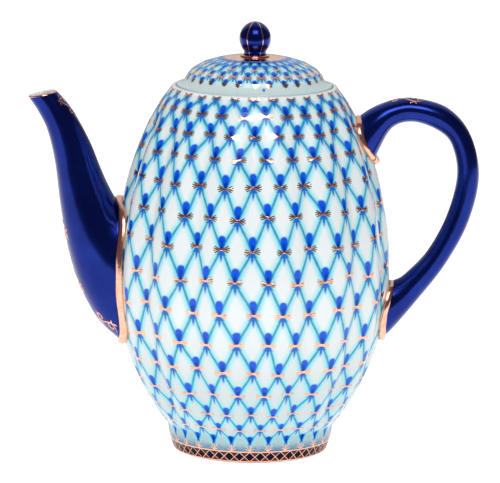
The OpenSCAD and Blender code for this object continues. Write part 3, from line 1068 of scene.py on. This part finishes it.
def hidden(points):
    """True where a bow would lie under the spout's or the handle's roots."""
    x, y, z = points.T
    spout_in, upper_in, lower_in = (
        (y / half_w) ** 2 + ((z - mid_z) / half_h) ** 2 < 1
        for mid_z, half_w, half_h in (SPOUT_CLEAR, UPPER_CLEAR, LOWER_CLEAR))
    return np.where(x < 0, spout_in, upper_in | lower_in)


def build_bows():
    """A gilt bow on every crossing of the net that can be seen."""
    shapes = []
    for j in range(ROWS):
        i = np.arange(COLUMNS) + (j % 2) / 2
        a, s = crossing(i, np.full(COLUMNS, float(j)))
        under = hidden(pot.point(a, s))
        for k in range(COLUMNS):
            tilt, size = rng.normal(0, 0.07), rng.normal(1.0, 0.05)
            pitch = TAU * pot.radius(s[k]) / COLUMNS
            scale = BOW_SCALE * size * (pitch / BELLY_PITCH) ** 0.35 * (0.8 if j == 0 else 1.0)
            flat = 0.68 if j >= ROWS - 3 else 1.0
            if not under[k]:
                shapes.append((turn(BOW * [1, flat], tilt, scale), a[k], s[k] + 0.2))
    make("net_bows", *join_parts(plaques(shapes, pot)), "pot", "gilding", [gold], sharp=30)


def build_foot_gold():
    """The band's two gilt edges, the lattice between them, and the tridents above it."""
    parts = []
    low_s, top_s = np.interp([-(BAND_MID - BAND_H / 2), -(BAND_MID + BAND_H / 2)], -pot.z, pot.s)
    full = TAU * np.arange(AROUND) / AROUND
    for s, w in ((low_s + 0.1, 0.8), (top_s - 0.1, 0.6)):
        parts.append(stroke(pot, full, np.full(AROUND, s), w, 0.14, closed=True))
    one = TAU / FOOT_DIAMONDS
    for k in range(FOOT_DIAMONDS):
        for way, proud in ((1, 0.11), (-1, 0.13)):
            t = np.linspace(0, 1, 9)
            a = (k + (t if way > 0 else 1 - t)) * one + rng.normal(0, 0.02) * one
            parts.append(stroke(pot, a, low_s + (top_s - low_s) * t, 0.3, proud))
    make("foot_lattice", *join_parts(parts), "pot", "gilding", [gold])
    rays = []
    for k in range(COLUMNS):
        a0 = FRONT + TAU * k / COLUMNS
        for lean, length in ((-50, 3.2), (-24, 4.7), (0, 3.8), (24, 4.7), (50, 3.2)):
            t = np.linspace(0, 1, 8)
            angle = math.radians(lean + rng.normal(0, 4)) * (0.75 + 0.4 * t)
            x, y = length * t * np.sin(angle), length * t * np.cos(angle)
            s = top_s - 0.3 - y
            width = brush(len(t), 0.34, 0.45)
            rays.append(stroke(pot, a0 + x / pot.radius(s), s, width, 0.11))
        dot = TAU * np.arange(10) / 10
        blob = np.stack([0.5 * np.cos(dot), 0.5 * np.sin(dot)], 1)
        rays += plaques([(blob, a0, top_s - 0.75)], pot, proud=0.18)
    make("foot_tridents", *join_parts(rays), "pot", "gilding", [gold])


def build_lid_gold():
    """Clovers along the lid's painted edge and bows above them."""
    shapes = []
    for row, step, shape, scale in LID_GOLD:
        for k in range(0, COLUMNS, step):
            a = FRONT + TAU * (k + (row % 2) / 2) / COLUMNS + rng.normal(0, 0.01)
            s = lid_row_s[row] + rng.normal(0, 0.15)
            shapes.append((turn(shape, rng.normal(0, 0.1), scale * rng.normal(1, 0.05)), a, s))
    make("lid_bows", *join_parts(plaques(shapes, lid)), "lid", "gilding", [gold], sharp=30)


def curl(x, y, radius, start, sweep):
    """A curl that winds inwards, as points across a surface in mm."""
    t = np.linspace(0, 1, 18)
    r = radius * (1 - 0.65 * t)
    a = math.radians(start) + math.radians(sweep) * t
    return np.stack([x + r * np.cos(a), y + r * np.sin(a)], 1)


def scroll(length, height, bends):
    """A generic leafy scroll: a waving stem with a curl in each bend and short leaves."""
    t = np.linspace(0, 1, 36)
    lines = [(np.stack([length * (t - 0.5), height * 0.5 * np.sin(math.pi * bends * t)], 1), 0.75)]
    for k in range(bends):
        x = length * ((k + 0.5) / bends - 0.5)
        way = 1 if k % 2 == 0 else -1
        lines.append((curl(x, way * height * 0.02, height * 0.34, 90 * way, -330 * way), 0.7))
        leaf = np.linspace(0, 1, 8)
        for lean in (-0.9, 0.2):
            lines.append((np.stack([
                x + height * 0.5 * leaf * lean,
                way * (height * 0.5 + height * 0.42 * leaf * (1 - 0.3 * leaf))], 1), 0.8))
    return lines


def lay_scroll(lines, surface, a0, t0):
    """Lays a flat scroll on a swept surface: x along it from ring t0, y round it from angle a0."""
    parts, da = [], 0.05
    start = np.interp(t0, np.arange(len(surface.run)), surface.run)
    for points, width in lines:
        t = np.interp(start + points[:, 0], surface.run, np.arange(len(surface.run)))
        ring = surface.point(np.full(len(t), a0), t)
        near = surface.point(np.full(len(t), a0 + da), t)
        reach = np.linalg.norm(near - ring, axis=1) / da
        a = a0 + points[:, 1] / reach
        parts.append(stroke(surface, a, t, brush(len(t), width), 0.18, 0.2))
    return parts


def build_scrolls():
    """Scrolls: length, height and bends, then the surface, the angle round it and how far along."""
    flourishes = {
        "spout_scroll_front": (scroll(27, 6.5, 3), spout, math.pi * 1.05, 0.34),
        "spout_scroll_low": (scroll(9.5, 5.0, 2), spout, math.pi * 1.17, 0.085),
        "spout_scroll_top": (scroll(13, 4.4, 2), spout, -0.4, 0.87),
        "handle_scroll": (scroll(19, 5.0, 2), handle, -0.22, 0.235),
    }
    for name, (lines, surface, a0, share) in flourishes.items():
        parts = lay_scroll(lines, surface, a0, share * len(surface.run))
        make(name, *join_parts(parts), "pot", "gilding", [gold])


build_bows()
build_foot_gold()
build_lid_gold()
build_scrolls()

# ---- Studio ----
PAPER_GREY, PAPER_GLOW = 0.58, 0.9
ROOM_DIM, ROOM_BRIGHT = (0.125, 0.082, 0.1, 1), (0.72, 0.74, 0.74, 1)


def floor(name, low, high, height):
    """A white sheet that glows faintly, as over a light table."""
    corners = [(low[0], low[1]), (high[0], low[1]), (high[0], high[1]), (low[0], high[1])]
    mesh = bpy.data.meshes.new(name)
    mesh.from_pydata([(x, y, height) for x, y in corners], [], [(0, 1, 2, 3)])
    obj = add(name, mesh)
    mesh.materials.append(paper)
    return obj


def floor_paper():
    """Matt paper, lit so that the camera sees plain white."""
    m, _, shader = material("paper", 0.9)
    shader.inputs["Base Color"].default_value = (PAPER_GREY, PAPER_GREY, PAPER_GREY, 1)
    shader.inputs["Emission Color"].default_value = (1, 1, 1, 1)
    shader.inputs["Emission Strength"].default_value = PAPER_GLOW
    shader.inputs["Specular IOR Level"].default_value = 0.0
    return m


def panel(name, azimuth, elevation, distance, width, height, power):
    """A soft light panel that faces the pot. Angles are in degrees, lengths in metres."""
    data = bpy.data.lights.new(name, "AREA")
    data.shape, data.size, data.size_y = "RECTANGLE", width, height
    data.energy = power
    obj = add(name, data)
    a, e = math.radians(azimuth), math.radians(elevation)
    away = np.array([math.sin(a) * math.cos(e), -math.cos(a) * math.cos(e), math.sin(e)])
    obj.location = (away * distance + AIM_AT).tolist()
    obj.rotation_euler = (math.pi / 2 - e, 0, a)
    return obj


def room():
    """A room that is bright high up behind the pot and dim everywhere else."""
    world = bpy.data.worlds.new("room")
    world.use_nodes = True
    tree = world.node_tree
    where = tree.nodes.new("ShaderNodeTexCoord")
    split = tree.nodes.new("ShaderNodeSeparateXYZ")
    tree.links.new(where.outputs["Generated"], split.inputs[0])
    back = (Num(tree, split.outputs[1]) + Num(tree, split.outputs[2])).step(0.8, 1.2)
    col = blend(tree, ROOM_DIM, ROOM_BRIGHT, back)
    tree.links.new(col, tree.nodes["Background"].inputs["Color"])
    bpy.context.scene.world = world


CAMERA_AT = np.array([0.0, -2.32, 0.515])
AIM_AT = np.array([0.0, 0.0, 0.1])
ROLL_DEG = 0.75

# Glaze and gold mirror the room, the table and the key light, but not the far floor or the fills.
paper = floor_paper()
floor("table", (-2.0, -0.74), (2.0, 2.5), 0.0)
floor("floor", (-8.0, -8.0), (8.0, 8.0), -0.002).visible_glossy = False
room()
panel("key", 4, 47, 1.5, 0.84, 0.56, 8.2)
for name, azimuth, power in (("fill_left", -50, 7.2), ("fill_right", 50, 4.0)):
    panel(name, azimuth, 38, 1.8, 1.4, 1.4, power).visible_glossy = False
bpy.context.scene.view_settings.view_transform = "Standard"

camera_data = bpy.data.cameras.new("camera")
camera = add("camera", camera_data)
bpy.context.scene.camera = camera
camera_data.sensor_width = 36.0
camera_data.lens = 355.0
camera_data.clip_end = 50.0
down = AIM_AT - CAMERA_AT
camera.location = CAMERA_AT.tolist()
tilt = math.atan2(-down[2], down[1])
camera.rotation_mode = "XYZ"
camera.rotation_euler = (math.pi / 2 - tilt, 0, 0)
camera.rotation_euler.rotate_axis("Z", math.radians(ROLL_DEG))
camera_data.shift_x = -0.005
camera_data.shift_y = 0.002
